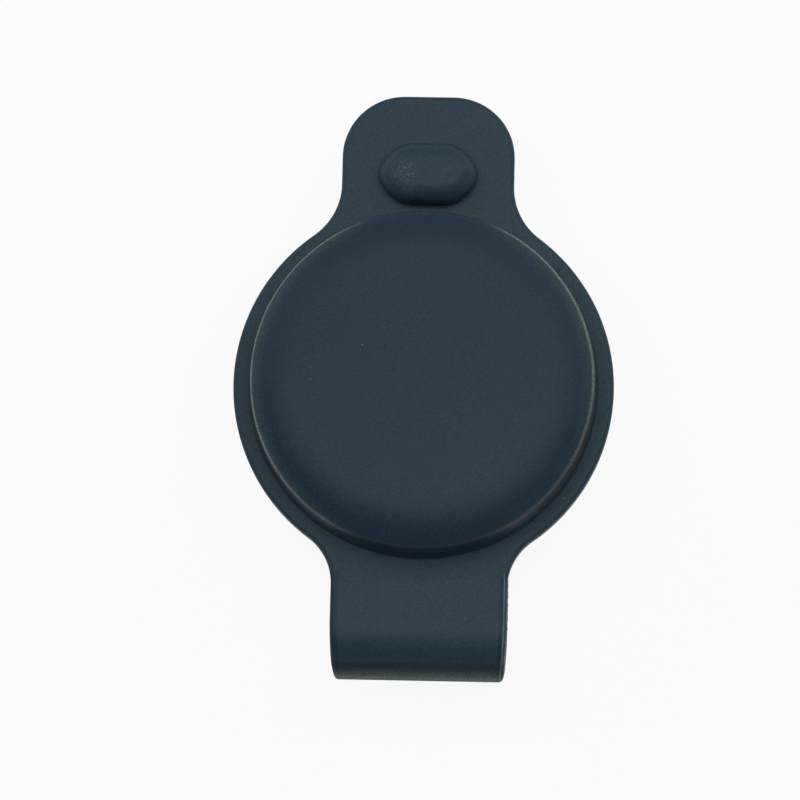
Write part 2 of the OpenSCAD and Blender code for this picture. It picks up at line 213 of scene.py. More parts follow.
def panel_rings():
    """Rings from the middle of the roof, over the panel's edge, to the middle of the inner roof."""
    outline = panel_outline()
    edge, normal = outline[:, :2], outline[:, 2:]
    ray = edge / np.linalg.norm(edge, axis=1)[:, None]

    def round_ring(r, z):
        return np.column_stack([ray * r, np.full(len(ray), z)])

    def edge_ring(inset, z):
        return np.column_stack([edge - normal * inset, np.full(len(edge), z)])

    def across(start, stop, shares):
        return [start * (1 - share) + stop * share for share in shares]

    rim_turn = math.degrees(math.atan2(rim_dz, rim_x - roof_flat_r))
    fillet_z = face_z + base_fillet
    outside = np.concatenate([
        crown(roof_flat_r, roof_z - roof_rise, roof_z)[::-1],
        arc(roof_flat_r, shoulder_z, shoulder_round, shoulder_round, 90, rim_turn, arc_steps)[1:],
        arc(rim_x, rim_z, rim_round, rim_round, rim_turn, 0, rim_steps)[1:],
        np.linspace((rim_out_r, rim_z), (base_r, fillet_z), wall_loops + 2)[1:-1],
        arc(base_r + base_fillet, fillet_z, base_fillet, base_fillet, 180, 270, fillet_steps)])
    rings = [round_ring(r, z) for r, z in outside]
    rings += across(rings[-1], edge_ring(edge_round, face_z), flange_shares)
    rings += [edge_ring(inset, z) for inset, z in rounded_edge(edge_round, face_z, -1)]
    rings += [edge_ring(inset, z) for inset, z in rounded_edge(edge_round, back_z, 1)[::-1]]
    wall_ring = round_ring(rim_out_r + base_fillet, back_z)
    rings += across(rings[-1], wall_ring, [1 - share for share in flange_shares[::-1]])
    room_a, room_b = rear_flank + tag_fit, tag_mid - tag_low.z + tag_fit
    rear_r = tag_high.x - rear_flank
    mouth_r = rear_r + lip_bare
    mouth_turn = -math.degrees(math.acos(lip_bare / room_a))
    front_r = tag_high.x - front_flank
    room_top = tag_front - tag_crown + tag_fit
    inside = np.concatenate([
        arc(rim_out_r + base_fillet, back_z - base_fillet, base_fillet, base_fillet, 90, 180,
            inner_fillet_steps),
        arc(rim_out_r - back_round, pocket_back + back_round, back_round, back_round, 0, -90, rim_steps),
        arc(mouth_r + lip_edge, pocket_back + lip_edge, lip_edge, lip_edge, 270, 180, fillet_steps),
        arc(rear_r, tag_mid, room_a, room_b, mouth_turn, 0, arc_steps),
        arc(front_r, tag_mid, front_flank + tag_fit, room_top - tag_mid, 0, 90, arc_steps)[1:],
        crown(front_r, room_top, tag_front + tag_fit)[1:]])
    rings += [round_ring(r, z) for r, z in inside]
    return rings


round_end_steps = 24


def stadium_ring(half_l, half_w, z, y, point=2.0):
    """A long round-ended ring; a point below 2 draws its ends out a little at mid width."""
    turn = np.radians(np.linspace(-90, 90, round_end_steps + 1))
    end_x = np.abs(np.cos(turn)) ** (2 / point) * np.sign(np.cos(turn))
    end_y = np.abs(np.sin(turn)) ** (2 / point) * np.sign(np.sin(turn))
    right = np.stack([half_l - half_w + half_w * end_x, half_w * end_y], 1)
    flat = np.concatenate([right, -right])
    return np.column_stack([flat + [0, y], np.full(len(flat), z)])


neck_low, neck_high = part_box("button_neck")
button_y = (neck_low.y + neck_high.y) / 2
neck_half_l = neck_high.x
neck_half_w = (neck_high.y - neck_low.y) / 2
slot_room_l = 0.0003
slot_room_w = 0.00045
slot_half_l = neck_half_l + slot_room_l
slot_half_w = neck_half_w + slot_room_w
slot_round = 0.00025
slot_over = 0.0006


def slot_cutter():
    """A cutter for the tab's slot that flares at both faces, so the slot's edges come out round."""
    rows = [(slot_round, back_z - slot_over)]
    rows += rounded_edge(slot_round, back_z, 1)
    rows += rounded_edge(slot_round, face_z, -1)[::-1]
    rows += [(slot_round, face_z + slot_over)]
    loops = [stadium_ring(slot_half_l + wider, slot_half_w + wider, z, button_y) for wider, z in rows]
    return solid_mesh("slot_cutter", *lofted(loops))


def front_panel():
    """The whole panel with its pocket, cut off square at the fold and pierced by the tab's slot."""
    piece = solid_mesh("front_panel", *lofted(
        panel_rings(), (0, 0, roof_z), (0, 0, tag_front + tag_fit)))
    form = bmesh.new()
    form.from_mesh(piece.data)
    everything = form.verts[:] + form.edges[:] + form.faces[:]
    bmesh.ops.bisect_plane(form, geom=everything, plane_co=(0, fold_y + seam_shift, 0),
                           plane_no=(0, -1, 0), clear_outer=True, dist=weld_gap)
    bmesh.ops.holes_fill(form, edges=[e for e in form.edges if e.is_boundary], sides=0)
    form.to_mesh(piece.data)
    form.free()
    cutter = slot_cutter()
    cut = piece.modifiers.new("slot", "BOOLEAN")
    cut.operation, cut.solver, cut.object = "DIFFERENCE", "EXACT", cutter
    bpy.context.view_layer.update()
    mesh = bpy.data.meshes.new_from_object(piece.evaluated_get(bpy.context.evaluated_depsgraph_get()))
    bpy.data.objects.remove(piece)
    bpy.data.objects.remove(cutter)
    mesh.name = "front_panel"
    return tidy_mesh("front_panel", mesh)


class Value:
    """An output of a node that takes part in Python sums, each of which adds its Math node."""

    def __init__(self, graph, socket):
        self.graph, self.socket = graph, socket

    def __add__(self, other):
        return self.graph.math("ADD", self, other)

    def __sub__(self, other):
        return self.graph.math("SUBTRACT", self, other)

    def __rsub__(self, other):
        return self.graph.math("SUBTRACT", other, self)

    def __mul__(self, other):
        return self.graph.math("MULTIPLY", self, other)

    def __truediv__(self, other):
        return self.graph.math("DIVIDE", self, other)

    def __pow__(self, other):
        return self.graph.math("POWER", self, other)

    def __abs__(self):
        return self.graph.math("ABSOLUTE", self)

    def __gt__(self, other):
        return self.graph.math("GREATER_THAN", self, other)

    def __lt__(self, other):
        return self.graph.math("LESS_THAN", self, other)

    __radd__, __rmul__ = __add__, __mul__


class Graph:
    """A node tree to which nodes are added one at a time."""

    def __init__(self, tree):
        self.tree = tree

    def put(self, socket, value):
        if isinstance(value, Value):
            self.tree.links.new(value.socket, socket)
        else:
            socket.default_value = value

    def node(self, kind, settings=None, sockets=None, output=0):
        """A node with its settings made first, then its sockets' values or links."""
        made = self.tree.nodes.new(kind)
        for name, value in (settings or {}).items():
            setattr(made, name, value)
        for name, value in (sockets or {}).items():
            self.put(made.inputs[name], value)
        return Value(self, made.outputs[output])

    def math(self, operation, *terms):
        return self.node("ShaderNodeMath", {"operation": operation}, dict(enumerate(terms)))

    def place(self):
        return self.node("ShaderNodeTexCoord", output="Object")

    def parts(self, vector):
        return [self.node("ShaderNodeSeparateXYZ", None, {"Vector": vector}, axis) for axis in range(3)]

    def stored(self, name):
        """A number kept on a piece's points, or zero on a piece that has none."""
        return self.node("ShaderNodeAttribute", {"attribute_name": name}, output="Fac")

    def span(self, x, y):
        return self.math("SQRT", x * x + y * y)

    def noise(self, scale, detail):
        return self.node("ShaderNodeTexNoise", None, {"Vector": self.place(), "Scale": scale,
                                                     "Detail": detail})

    def blended(self, share, first, second, way="MIX"):
        """One colour turned into another, or multiplied by it, by a share from 0 to 1."""
        return self.node("ShaderNodeMix", {"data_type": "RGBA", "blend_type": way},
                         {0: share, 6: first, 7: second}, 2)

    def shaded(self, share, first, shade):
        return self.blended(share, first, (*shade, 1), "MULTIPLY")

    def between(self, value, none, full):
        """Zero up to one value, one from the other on, and smooth in between."""
        return self.node("ShaderNodeMapRange", {"interpolation_type": "SMOOTHSTEP"},
                         {"Value": value, "From Min": none, "From Max": full})

    def band(self, value, rise, fall):
        """A soft-sided band that a value enters over one range and leaves over another."""
        return self.between(value, *rise) * self.between(value, *fall)

    def bump(self, height, distance, strength):
        return self.node("ShaderNodeBump", None,
                         {"Height": height, "Distance": distance, "Strength": strength})


def colour(red, green, blue):
    """A colour written as 8-bit screen values, as linear light."""
    def linear(value):
        share = value / 255
        return share / 12.92 if share <= 0.04045 else ((share + 0.055) / 1.055) ** 2.4
    return (linear(red), linear(green), linear(blue), 1.0)


class Finish(Graph):
    """A material whose constants sit on the shader's own sockets."""

    def __init__(self, name, **constants):
        self.material = bpy.data.materials.new(name)
        self.material.use_nodes = True
        super().__init__(self.material.node_tree)
        self.shader = self.tree.nodes["Principled BSDF"]
        for key, value in constants.items():
            self.shader.inputs[key.replace("_", " ")].default_value = value

    def feed(self, name, value):
        self.put(self.shader.inputs[name], value)


# The silicone's colours: a deep tone, a paler tone for random clouding and painted sheen, painted
# highlights for the rim and the strap's right edge, a pale fold tone that is partly wear and partly
# painted reflection, and a speck tone that also serves painted glints.
deep_skin, pale_tone_and_sheen = colour(30, 52, 69), colour(44, 70, 83)
rim_highlight_tone, edge_highlight, fold_wear_and_reflection_tone = colour(124, 144, 135), colour(108, 138, 145), colour(138, 154, 134)
dust_and_glint_tone = colour(150, 162, 160)
grain_shade, painted_shade = (0.6, 0.6, 0.6), (0.45, 0.45, 0.45)
edge_band_shade, fold_shade = (0.6, 0.66, 0.72), (0.8, 0.8, 0.8)
cloud_scale, grain_scale = 160.0, 9000.0
speck_scale, dust_scale = 600.0, 97.0
rim_grit_scale, fold_grit_scale, glint_scale = 9500.0, 8000.0, 8000.0
sheen_share, cloud_share, strap_sheen_share = 0.6, 0.25, 0.15
paler_to_right = 10
low_dome_sheen_share, rim_glow_share, edge_highlight_share, dust_and_glint_share = 0.6, 0.12, 0.5, 0.7
# A pair gives the value at which a mark is absent, and the one at which it is full.
grain_seen, rim_grit_seen, fold_grit_seen = (0.66, 0.34), (0.32, 0.68), (0.42, 0.6)
speck_sizes, dust_seen = (0.018, 0.034), 0.49
dome_heights, dome_over = (face_z + 0.0004, face_z + 0.002), 0.0005
low_dome_sheen_heights, low_dome_sheen_places = (roof_z - 0.001, roof_z - 0.0002), (0.006, -0.012)
strap_sheen_places = (-0.017, -0.022)
wall_start, wall_turns = (rim_out_r, rim_out_r + 0.0001), (-0.95, -0.5)
wall_foot = face_z + 0.0001
rim_heights = (rim_z - 0.0001, rim_z + 0.0002)
rim_inside = (rim_out_r - 0.00026, rim_out_r - 0.0001)
rim_outside = (rim_out_r + 0.00016, rim_out_r + 0.00002)
rim_glow_inside = (rim_out_r - 0.0015, rim_out_r - 0.0003)
rim_slant, highlight_slant = 0.008, 0.35
rim_beside, rim_beyond = (0.3, 0.6), (-1.35, 0.15)
line_places, line_heights = (-0.0185, -0.0195), (0.002, 0.004)
edge_band_inside = (0.0009, 0.0006)
dark_line = ((0.0002, 0.0001), (0.0, 0.00003))
highlight_line = ((0.00038, 0.0003), (0.00014, 0.00022))
fold_side = (0.00002, 0.0002)
apex_narrow, apex_power = 1.9, 1.4
shade_start = (0.3, 0.6)
fold_wear_and_reflection_share, fold_grit_share = 0.1, 0.45
matt, marks_matt = 0.45, 0.3
glint_reach, glint_grains = (0.0002, 0.0026), (0.76, 0.86)
glint_gain, glint_share = 0.13, 0.35
grain_depth = 0.00001


def silicone_finish(name, glints_at=None):
    """Matt moulded silicone with a fine grain and specks, and with painted sheen, painted shade and
    painted highlights.
    """
    finish = Finish(name, IOR=1.41, Specular_IOR_Level=0.22)
    between = finish.between
    x, y, z = finish.parts(finish.place())
    radius = finish.span(x, y)

    # Painted sheen: the flat panel, the low side of the dome's roof and the lower strap are paler than
    # the rest of the roof. The cloud is a random tone, and everything grows paler towards the right.
    on_dome = between(z, *dome_heights) * (radius < rim_out_r + dome_over)
    low_dome_sheen = between(z, *low_dome_sheen_heights) * between(y, *low_dome_sheen_places)
    painted_sheen = (1 - on_dome * (1 - low_dome_sheen * low_dome_sheen_share)) * sheen_share
    cloud = finish.noise(cloud_scale, 3.0) * cloud_share
    strap_sheen = between(y, *strap_sheen_places) * strap_sheen_share
    skin = finish.blended(painted_sheen + cloud + strap_sheen + x * paler_to_right, deep_skin, pale_tone_and_sheen)
    grain = finish.noise(grain_scale, 1.0)
    skin = finish.shaded(between(grain, *grain_seen), skin, grain_shade)
    slanted = radius + finish.math("MAXIMUM", x, 0.0) * rim_slant
    # Painted shade on the pocket's outer wall, all round but at its bottom, reaching a little further
    # out on the right.
    painted_wall_shade = between(slanted, *wall_start) * (radius < base_r) * (z > wall_foot) \
        * between(y / radius, *wall_turns)
    skin = finish.shaded(painted_wall_shade, skin, painted_shade)

    from_edge = strap_half - abs(x + finish.stored("drawn_in"))
    on_lines = between(y, *line_places) * between(z, *line_heights)
    # Painted shade on the strap's lower stretch and the fold: a band inside each edge, and a darker line
    # on the edge's rounding.
    skin = finish.shaded(on_lines * between(from_edge, *edge_band_inside), skin, edge_band_shade)
    skin = finish.shaded(on_lines * finish.band(from_edge, *dark_line), skin, painted_shade)
    # A painted highlight line on the rounding of the strap's right edge only.
    painted_edge_highlight = on_lines * (x > 0) * finish.band(from_edge, *highlight_line)
    skin = finish.blended(painted_edge_highlight * edge_highlight_share, skin, edge_highlight)

    # Near the fold's apex the skin is pale with grit, partly wear and partly painted reflection of the
    # table; painted shade lies on the band just above it.
    round_apex = finish.stored("toward_apex")
    near_apex = finish.math("MAXIMUM", 1 - finish.math("SQRT", 1 - round_apex) * apex_narrow, 0.0)
    fold_wear_and_reflection = near_apex ** apex_power * between(from_edge, *fold_side)
    painted_shade_above_fold = between(round_apex, *shade_start) * (1 - fold_wear_and_reflection)
    skin = finish.shaded(painted_shade_above_fold, skin, fold_shade)
    fold_grit = between(finish.noise(fold_grit_scale, 1.0), *fold_grit_seen)
    skin = finish.blended(fold_wear_and_reflection * (fold_wear_and_reflection_share + fold_grit * fold_grit_share), skin, fold_wear_and_reflection_tone)

    # A gritty painted highlight along the dome's rim, with a fainter painted glow just inside it, on the
    # rim's left and right and fading towards its bottom.
    on_rim = finish.band(slanted, rim_inside, rim_outside) + between(slanted, *rim_glow_inside) * rim_glow_share
    around = between(abs(x) / radius, *rim_beside) * between((y - x * highlight_slant) / radius, *rim_beyond)
    rim_grit = between(finish.noise(rim_grit_scale, 1.0), *rim_grit_seen)
    painted_rim_highlight = on_rim * around * between(z, *rim_heights) * rim_grit
    skin = finish.blended(painted_rim_highlight, skin, rim_highlight_tone)

    # Pale specks of dust, and on the button also painted glints in a patch low on the left of its top.
    speck = finish.node("ShaderNodeTexVoronoi", None,
                        {"Vector": finish.place(), "Scale": speck_scale, "Randomness": 1.0}, "Distance")
    dust_and_glints = (1 - between(speck, *speck_sizes)) * (finish.noise(dust_scale, 1.0) > dust_seen)
    if glints_at:
        patch = (1 - between(finish.span(x - glints_at[0], y - glints_at[1]), *glint_reach)) \
            * (z > glints_at[2])
        grains = finish.noise(glint_scale, 0.0) + patch * glint_gain
        dust_and_glints = dust_and_glints + between(grains, *glint_grains) * glint_share
    finish.feed("Base Color", finish.blended(dust_and_glints * dust_and_glint_share, skin, dust_and_glint_tone))
    # Specks, glints, the rim's painted highlight, the fold's pale band and the painted shade are
    # rougher.
    rougher_marks = dust_and_glints + painted_rim_highlight + fold_wear_and_reflection + painted_shade_above_fold + painted_wall_shade
    finish.feed("Roughness", matt + rougher_marks * marks_matt)
    finish.feed("Normal", finish.bump(grain, grain_depth, 0.5))
    return finish.material


silicone = silicone_finish("silicone")
front = front_panel()
front.data.materials.append(silicone)
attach(front, "front")
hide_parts("front_shell", "pocket_lip")

# Fold of the strap: the same silicone sheet bent round by half a turn, where the holder opens.
# Between its two bends is a flat stretch, drawn in at the sides, which carry a faint line of
# flash, where the two halves of the mould met. The stretch is pale, partly from wear and partly as
# painted reflection of the table, with painted shade just above it.
fold_round = 0.0043
fold_lead = 0.0006
fold_sink = 0.000006
fold_waist = 0.00016
fold_apex_band = 0.0022
fold_corner = 0.00015
fold_steps = 107
bar_cuts = 3
side_share = 0.499
face_shares = (0.15, 0.35)
loop_from_edge = 1.3
flash_reach = 0.00006
fold_flash = flash_reach / 3


class Growth(Graph):
    """A geometry tree with named inputs that ends in real geometry with its material set."""

    def __init__(self, name, **inputs):
        super().__init__(bpy.data.node_groups.new(name, "GeometryNodeTree"))
        kinds = {float: "NodeSocketFloat", int: "NodeSocketInt"}
        for key, kind in inputs.items():
            self.tree.interface.new_socket(key, in_out="INPUT", socket_type=kinds[kind])
        self.tree.interface.new_socket("Geometry", in_out="OUTPUT", socket_type="NodeSocketGeometry")
        self.entry = self.tree.nodes.new("NodeGroupInput")

    def given(self, name):
        return Value(self, self.entry.outputs[name])

    def point(self, x=0.0, y=0.0, z=0.0):
        return self.node("ShaderNodeCombineXYZ", None, {"X": x, "Y": y, "Z": z})

    def joined(self, pieces):
        made = self.tree.nodes.new("GeometryNodeJoinGeometry")
        for piece in pieces:
            self.tree.links.new(piece.socket, made.inputs["Geometry"])
        return Value(self, made.outputs["Geometry"])

    def finish(self, geometry, material):
        real = self.node("GeometryNodeRealizeInstances", None, {"Geometry": geometry})
        dressed = self.node("GeometryNodeSetMaterial", None, {"Geometry": real, "Material": material})
        leave = self.tree.nodes.new("NodeGroupOutput")
        self.put(leave.inputs["Geometry"], dressed)
        return self.tree


def grown_piece(name, tree, values):
    """Runs a geometry tree on an empty mesh and keeps the result as a plain mesh object."""
    host = bpy.data.objects.new(name + "_host", bpy.data.meshes.new(name + "_host"))
    bpy.context.scene.collection.objects.link(host)
    modifier = host.modifiers.new(name, "NODES")
    modifier.node_group = tree
    sockets = {s.name: s.identifier for s in tree.interface.items_tree if s.in_out == "INPUT"}
    for key, value in values.items():
        modifier[sockets[key]] = value
    bpy.context.view_layer.update()
    mesh = bpy.data.meshes.new_from_object(host.evaluated_get(bpy.context.evaluated_depsgraph_get()))
    bpy.data.objects.remove(host)
    mesh.name = name
    return tidy_mesh(name, mesh)


def fold_tree():
    """A rounded flat bar swept round a flat-bottomed U, with a short straight lead at either end.

    A loop close beside each edge keeps the wide faces flat in the light, and the sides carry the
    flash. What is stored on the points tells the silicone where the fold is drawn in, and how near
    its apex a point lies, for the pale wear with painted reflection and the painted shade there.
    """
    tree = Growth("fold", Width=float, Thickness=float, Edge=float, Round=float, Reach=float,
                  Start=float, Lead=float, Sink=float, Flash=float, Waist=float, Corner=float,
                  Apex_Band=float, Steps=int)
    width, half_t, edge = tree.given("Width"), tree.given("Thickness") / 2, tree.given("Edge")
    reach, start, steps = tree.given("Reach"), tree.given("Start"), tree.given("Steps")
    bar = tree.node("GeometryNodeCurvePrimitiveQuadrilateral", None,
                    {"Width": width, "Height": tree.given("Thickness")})
    bar = tree.node("GeometryNodeFilletCurve", {"mode": "POLY"},
                    {"Curve": bar, "Radius": edge, "Count": edge_steps - 1})
    bar = tree.node("GeometryNodeSubdivideCurve", None, {"Curve": bar, "Cuts": bar_cuts})
    x, y, _ = tree.parts(tree.node("GeometryNodeInputPosition"))
    aside = abs(x)
    on_side = (aside > width * side_share) * tree.between(abs(y), half_t - edge, 0)
    on_face = (aside > width * face_shares[0]) * (aside < width * face_shares[1])
    beside_edge = width / 2 - edge * loop_from_edge - aside
    moved = tree.math("SIGN", x) * (on_side * tree.given("Flash") + on_face * beside_edge)
    bar = tree.node("GeometryNodeSetPosition", None, {"Geometry": bar, "Offset": tree.point(x=moved)})

    corners = 4
    index = tree.node("GeometryNodeInputIndex")
    at_end = 1 - (index > 0.5) * (index < corners - 1.5)
    above = (index > 1.5) * 2 - 1
    arm = reach - half_t
    place = tree.point(0.0, start - arm + at_end * (arm + tree.given("Lead")),
                       reach + above * (arm - at_end * tree.given("Sink")))
    line = tree.node("GeometryNodeCurvePrimitiveLine", None, {"End": (0, 0, 1)})
    line = tree.node("GeometryNodeResampleCurve", {"mode": "COUNT"}, {"Curve": line, "Count": corners})
    line = tree.node("GeometryNodeSetPosition", None, {"Geometry": line, "Position": place})
    path = tree.node("GeometryNodeFilletCurve", {"mode": "POLY"},
                     {"Curve": line, "Radius": tree.given("Round") - half_t, "Count": steps})
    path = tree.node("GeometryNodeResampleCurve", {"mode": "COUNT"}, {"Curve": path, "Count": steps})
    swept = tree.node("GeometryNodeCurveToMesh", None,
                      {"Curve": path, "Profile Curve": bar, "Fill Caps": True})

    x, y, _ = tree.parts(tree.node("GeometryNodeInputPosition"))
    out = start - y
    toward_apex = tree.between(out, reach - tree.given("Apex_Band"), reach)
    drawn_in = x / width * 2 * (tree.between(out, 0, reach) * tree.given("Waist")
                                + toward_apex * toward_apex * tree.given("Corner"))
    for name, value in (("drawn_in", drawn_in), ("toward_apex", toward_apex)):
        swept = tree.node("GeometryNodeStoreNamedAttribute", {"data_type": "FLOAT", "domain": "POINT"},
                          {"Geometry": swept, "Name": name, "Value": value})
    swept = tree.node("GeometryNodeSetPosition", None,
                      {"Geometry": swept, "Offset": tree.point(x=drawn_in * -1)})
    return tree.finish(swept, silicone)


fold = grown_piece("strap_fold", fold_tree(), {
    "Width": 2 * strap_half, "Thickness": 2 * half_sheet, "Edge": edge_round,
    "Round": fold_round, "Reach": face_z / 2, "Start": fold_y, "Lead": fold_lead,
    "Sink": fold_sink, "Flash": fold_flash, "Waist": fold_waist,
    "Corner": fold_corner, "Apex_Band": fold_apex_band, "Steps": fold_steps})
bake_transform(fold)
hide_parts("fold_hinge")

# Back flap: the strap's return behind the pocket, a moulded sheet that tapers a little. It steps
# up near its round tip to lie flat against the tab, and leaves room below for webbing.
flap_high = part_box("back_flap")[1]
tip_half = 0.0081
tip_corner = 0.0055
tip_mid_z = flap_high.z - half_sheet
bend_r = 0.002
bend_slope = math.radians(55)
bend_room = 0.0003
bend_two_y = neck_low.y - bend_room
across_steps = 12
path_steps = 400
side_steps = 220
tip_steps = 21
flash_least = 0.3
flash_waves = (1.7, 0.61)


def flap_path():
    """Middle line of the flap from the fold to its tip, as rows of y, z, slope and length."""
    rise = tip_mid_z - half_sheet - 2 * bend_r * (1 - math.cos(bend_slope))
    run = 2 * bend_r * math.sin(bend_slope) + rise / math.tan(bend_slope)
    start = fold_y + seam_shift
    pieces = [(bend_two_y - run - start, 0.0), (bend_r * bend_slope, 1 / bend_r),
              (rise / math.sin(bend_slope), 0.0), (bend_r * bend_slope, -1 / bend_r),
              (flap_high.y - bend_two_y, 0.0)]
    total = sum(length for length, _ in pieces)
    rows, y, z, slope, mark = [(start, half_sheet, 0.0, 0.0)], start, half_sheet, 0.0, 0.0
    for length, curve in pieces:
        count = max(2, round(path_steps * length / total))
        step = length / count
        for _ in range(count):
            turn = curve * step
            y += step * math.cos(slope + turn / 2)
            z += step * math.sin(slope + turn / 2)
            slope += turn
            mark += step
            rows.append((y, z, slope, mark))
    return np.array(rows)


def back_flap():
    """The flap's sheet, laid out flat with its rounded edge and then bent along its middle line."""
    path = flap_path()
    total = path[-1, 3]
    corner_u, corner_x = total - tip_corner, tip_half - tip_corner
    straight_u = np.linspace(0, corner_u, side_steps)
    turns = np.radians(np.linspace(0, 90, tip_steps))[1:]
    heights = rounded_edge(edge_round, half_sheet, -1)
    heights += [(0.0, flash_reach / 2), (-flash_reach, 0.0)]
    heights += [(inset, -h) for inset, h in heights[-2::-1]]

    def station(k, inset):
        """How far along, and how wide to one side, the outline is at a station with an inset."""
        if inset < 0:
            wave = abs(math.sin(k * flash_waves[0]) * math.sin(k * flash_waves[1] + 1))
            inset *= flash_least + (1 - flash_least) * wave
        if k < len(straight_u):
            share = straight_u[k] / corner_u
            return straight_u[k], strap_half + (tip_half - strap_half) * share ** 2 - inset
        turn = turns[k - len(straight_u)]
        reach = tip_corner - inset
        return corner_u + reach * math.sin(turn), corner_x + reach * math.cos(turn)

    def mapped(u, x, h):
        y, z, slope = (np.interp(u, path[:, 3], path[:, i]) for i in range(3))
        past = max(0.0, u - total)
        return x, y + past - h * math.sin(slope), z + h * math.cos(slope)

    verts, faces, index = [], [], {}

    def vertex(k, m, j):
        key = (k, m, j)
        if key not in index:
            inset, h = heights[j]
            u, half = station(k, inset)
            index[key] = len(verts)
            verts.append(mapped(u, half * (2 * m / across_steps - 1), h))
        return index[key]

    def quad(*corners):
        faces.append([vertex(*corner) for corner in corners])

    last_k, last_j = len(straight_u) + len(turns) - 1, len(heights) - 1
    for k in range(last_k):
        for m in range(across_steps):
            for j in (0, last_j):
                quad((k, m, j), (k + 1, m, j), (k + 1, m + 1, j), (k, m + 1, j))
        for j in range(last_j):
            for m in (0, across_steps):
                quad((k, m, j), (k + 1, m, j), (k + 1, m, j + 1), (k, m, j + 1))
    for m in range(across_steps):
        for j in range(last_j):
            for k in (0, last_k):
                quad((k, m, j), (k, m + 1, j), (k, m + 1, j + 1), (k, m, j + 1))
    return solid_mesh("strap_flap", verts, faces)


flap = back_flap()
flap.data.materials.append(silicone)
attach(flap, "flap")
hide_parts("back_flap")

# Button: an oblong stud moulded on the flap's tip. Its neck stands in the tab's slot, and its
# head is undercut, widest low down, and rounds over into a softly domed top with a few glints.
head_low, head_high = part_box("button_head")
head_half_l = head_high.x
head_half_w = (head_high.y - head_low.y) / 2
head_point = 1.68
head_shoulder = 0.0021
head_under = 0.0003
head_crown = 0.00006
neck_fillet = 0.00015
neck_steps = 3
shoulder_steps = 20
crown_shares = (0.85, 0.65, 0.4, 0.15)
glints_at = (-0.0025, button_y - 0.0005, head_high.z - 0.0004)


def button():
    """The neck from the flap upwards, its fillet, and the head from its underside to its crown."""
    under_z, band_z = head_low.z, head_low.z + head_under
    crown_z = head_high.z - head_crown
    neck = [(0, neck_low.z), (0, under_z - neck_fillet)]
    neck += [(-grow, z) for grow, z in
             arc(neck_fillet, under_z - neck_fillet, neck_fillet, neck_fillet, 180, 90, neck_steps)[1:]]
    loops = [stadium_ring(neck_half_l - inset, neck_half_w - inset, z, button_y) for inset, z in neck]
    top_w = head_half_w - head_shoulder
    head = np.concatenate([
        arc(head_under, band_z, head_under, head_under, 270, 180, fillet_steps),
        arc(head_shoulder, band_z, head_shoulder, crown_z - band_z, 180, 90, shoulder_steps)[1:],
        [(head_half_w - top_w * share, head_high.z - head_crown * share ** 2)
         for share in crown_shares]])
    loops += [stadium_ring(head_half_l - inset, head_half_w - inset, z, button_y, point=head_point)
              for inset, z in head]
    return solid_mesh("button", *lofted(loops))


stud = button()
stud.data.materials.append(silicone_finish("button_silicone", glints_at))
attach(stud, "flap")
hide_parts("button_head", "button_neck")

# Tag's body: a glossy white plastic shell moulded in one piece, open at the back, where it ends
# in a plain round rim. It drops into the pocket from behind and is held by the lip's stretch.
cover_room = 0.0002
mouth_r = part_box("battery_cover")[1].x + cover_room
shell_t = 0.0009
rim_round_r = 0.00008
turned_steps = 180
front_steps, rear_steps, bead_steps = 24, 20, 3
inner_front_steps, inner_rear_steps = 16, 12
plastic_white, plastic_shade = colour(236, 237, 236), colour(229, 230, 231)
wave_scale, hair_scale = 90.0, 2600.0
wave_depth = 0.00004
hairs_seen = (0.62, 0.7)
gloss, gloss_wave, gloss_hairs = 0.12, 0.05, 0.12


def lathed(name, profile, first, last):
    """A turned piece: its profile of radius and height runs from one end of its axis to the other."""
    turn = np.radians(np.arange(turned_steps) * 360 / turned_steps)
    loops = [np.column_stack([r * np.cos(turn), r * np.sin(turn), np.full(turned_steps, z)])
             for r, z in profile]
    return solid_mesh(name, *lofted(loops, (0, 0, first), (0, 0, last)))


def tag_body():
    """The shell's outside from the middle of its front to the rim, and its inside back again."""
    rear_r, front_r = tag_high.x - rear_flank, tag_high.x - front_flank
    rear_z, crown_z = tag_low.z, tag_front - tag_crown
    profile = np.concatenate([
        crown(front_r, crown_z, tag_front)[::-1],
        arc(front_r, tag_mid, front_flank, crown_z - tag_mid, 90, 0, front_steps)[1:],
        arc(rear_r, tag_mid, rear_flank, tag_mid - rear_z, 0, -90, rear_steps)[1:],
        arc(mouth_r + rim_round_r, rear_z + rim_round_r, rim_round_r, rim_round_r, 270, 180, bead_steps),
        arc(mouth_r, tag_mid, tag_high.x - shell_t - mouth_r, tag_mid - rear_z - shell_t, -90, 0,
            inner_rear_steps),
        arc(front_r, tag_mid, front_flank - shell_t, crown_z - shell_t - tag_mid, 0, 90,
            inner_front_steps)[1:],
        crown(front_r, crown_z - shell_t, tag_front - shell_t)[1:]])
    return lathed("tag_body", profile, tag_front, tag_front - shell_t)


def gloss_white():
    """Glossy white plastic, very slightly wavy, with faint hairline scratches from handling."""
    finish = Finish("gloss_white", IOR=1.5)
    wave = finish.noise(wave_scale, 2.0)
    hairs = finish.between(finish.noise(hair_scale, 4.0), *hairs_seen)
    finish.feed("Base Color", finish.blended(wave * 0.5, plastic_white, plastic_shade))
    finish.feed("Roughness", gloss + wave * gloss_wave + hairs * gloss_hairs)
    finish.feed("Normal", finish.bump(wave, wave_depth, 0.2))
    return finish.material


white = gloss_white()
body = tag_body()
body.data.materials.append(white)
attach(body, "tag")
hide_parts("tag_shell")

